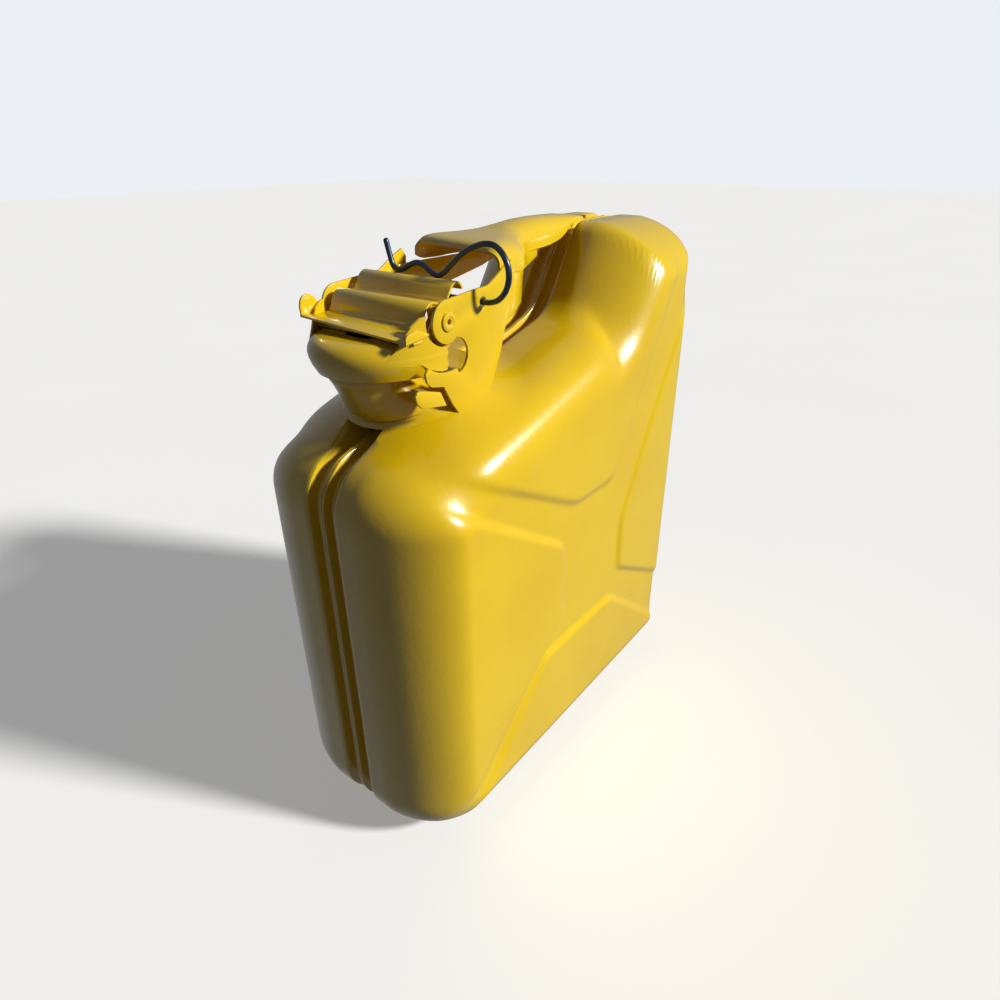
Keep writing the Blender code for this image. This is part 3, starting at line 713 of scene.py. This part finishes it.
clipShape = {
    "station": 74.0,
    "radius": 1.3,
    "around": 20,
    "leg": ((38.0, 278.2), (20.0, 278.2), (0.0, 278.2), (-20.0, 278.2), (-33.0, 278.2)),
    "bow": ((-38.4, 278.4), (-43.0, 280.0), (-46.6, 283.6), (-48.4, 288.4), (-48.0, 293.8), (-45.2, 298.6),
            (-41.0, 301.4), (-36.0, 301.7), (-30.5, 300.2), (-24.5, 297.4), (-18.5, 293.0), (-13.5, 288.8),
            (-9.4, 286.7), (-5.0, 287.8), (-1.0, 290.2), (3.0, 291.2), (7.5, 290.0), (12.0, 287.8),
            (15.8, 287.0), (18.8, 288.6), (20.6, 293.4), (22.6, 300.4)),
}


def clipWire():
    path = smoothLine(clipShape["leg"] + clipShape["bow"], 190)
    radius = clipShape["radius"]
    along = np.gradient(path, axis=0)
    along /= np.linalg.norm(along, axis=1)[:, None]
    last = len(path) - 1
    # point, shift along the wire, share of its radius
    stops = [(0, 0.0, 0.35), (0, radius * 0.25, 0.8)] + [(k, 0.0, 1.0) for k in range(1, last)]
    stops += [(last, -radius * 0.25, 0.8), (last, 0.0, 0.35)]
    rings = []
    for k, shift, share in stops:
        y, height = path[k] + along[k] * shift
        up = np.array((-along[k][1], along[k][0]))
        ring = []
        for a in np.linspace(0, 2 * math.pi, clipShape["around"], endpoint=False):
            out = up * math.sin(a) * radius * share
            ring.append(at(clipShape["station"] + radius * share * math.cos(a), y + out[0], height + out[1]))
        rings.append(ring)
    finishPiece("springClip", skin(rings), wireBlue, "clip", ["locking_clip"], 60)


clipWire()
print("clip bent")


# fittings that keep their solid's shape, with softer edges

def softened(name, node, material, body, width=0):
    mesh = bmesh.new()
    mesh.from_mesh(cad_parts[node].data)
    bmesh.ops.remove_doubles(mesh, verts=mesh.verts, dist=0.000005)
    bmesh.ops.dissolve_limit(mesh, angle_limit=math.radians(1.0), verts=mesh.verts, edges=mesh.edges)
    if width:
        softenEdges(mesh, width)
    finishPiece(name, mesh, material, body, [node])


for sideName in ("left", "right"):
    softened(sideName + "Cheek", sideName + "_cheek", enamelSmall, "can", 0.3)
    softened(sideName + "Gusset", sideName + "_gusset", enamelSmall, "can", 0.3)
    softened(sideName + "PivotRivet", sideName + "_pivot_rivet", enamelSmall, "can")
softened("neckLug", "neck_lug", enamelSmall, "can", 0.45)
softened("capYoke", "cap_yoke", enamelSmall, "cap", 0.2)
softened("capRivet", "cap_rivet", zinc, "cap")
softened("gasketPlate", "gasket_plate", zinc, "cap")
softened("sealRing", "gasket", rubber, "cap")
softened("mouthRing", "mouth_ring", enamelSmall, "can")
softened("breatherTube", "breather_tube", enamelSmall, "can")
softened("handleWeld", "handle_weld", enamelSmall, "can")
print("fittings softened")


# floor, lights, camera

studio = {
    "floorHalf": 6.0,
    "floorDrop": 0.0002,
    "sunStrength": 4.3,
    "sunAngle": 7.0,
    "sunFrom": (0.36, -0.82, 0.48),
    "ambient": 0.07,
    "sheenLight": 0.32,
    "backdrop": 0.9,
}


def paleFloor():
    finish = Finish("paleFloor", Roughness=0.9, Specular_IOR_Level=0.1, Emission_Strength=0.34)
    grain = finish.speckle(3.0, 4.0)
    shade = finish.blend(grain, (0.80, 0.80, 0.80, 1.0), (0.83, 0.83, 0.83, 1.0))
    finish.feed(Base_Color=shade, Emission_Color=shade)
    mesh = bmesh.new()
    bmesh.ops.create_grid(mesh, x_segments=1, y_segments=1, size=studio["floorHalf"])
    for vert in mesh.verts:
        vert.co.z = -studio["floorDrop"]
    data = bpy.data.meshes.new("floor")
    mesh.to_mesh(data)
    mesh.free()
    data.materials.append(finish.material)
    floor = bpy.data.objects.new("floor", data)
    bpy.context.collection.objects.link(floor)
    floor.visible_diffuse = False
    floor.visible_glossy = False


def studioLight():
    sun = bpy.data.lights.new("keyLight", "SUN")
    sun.energy = studio["sunStrength"]
    sun.angle = math.radians(studio["sunAngle"])
    sun.color = (1.0, 0.985, 0.95)
    lamp = bpy.data.objects.new("keyLight", sun)
    lamp.rotation_euler = Vector(studio["sunFrom"]).to_track_quat("Z", "Y").to_euler()
    bpy.context.collection.objects.link(lamp)
    world = bpy.data.worlds.new("studioSky")
    world.use_nodes = True
    tree = world.node_tree
    ground = tree.nodes["Background"]
    ground.inputs["Color"].default_value = (0.93, 0.96, 1.0, 1.0)
    rays = Signal(tree, tree.nodes.new("ShaderNodeLightPath").outputs["Is Diffuse Ray"])
    camera = Signal(tree, rays.socket.node.outputs["Is Camera Ray"])
    strength = studio["sheenLight"] - rays * (studio["sheenLight"] - studio["ambient"])
    strength = strength + camera * (studio["backdrop"] - studio["sheenLight"])
    tree.links.new(strength.socket, ground.inputs["Strength"])
    bpy.context.scene.world = world
    bpy.context.scene.view_settings.view_transform = "Standard"


cameraPlace = {
    "position": (-0.2823, -0.2226, 0.3381),
    "turn": 51.85,
    "downward": 27.73,
    "roll": 0.69,
    "lens": 24.40,
}


def studioCamera():
    lens = bpy.data.cameras.new("camera")
    lens.lens = cameraPlace["lens"]
    lens.sensor_width = 36.0
    lens.clip_start = 0.01
    camera = bpy.data.objects.new("camera", lens)
    turn, down, roll = [math.radians(cameraPlace[key]) for key in ("turn", "downward", "roll")]
    aim = Matrix.Rotation(-turn, 4, "Z") @ Matrix.Rotation(math.pi / 2 - down, 4, "X")
    aim = aim @ Matrix.Rotation(-roll, 4, "Z")
    camera.matrix_world = Matrix.Translation(cameraPlace["position"]) @ aim
    bpy.context.collection.objects.link(camera)
    bpy.context.scene.camera = camera


paleFloor()
studioLight()
studioCamera()
print("studio set")
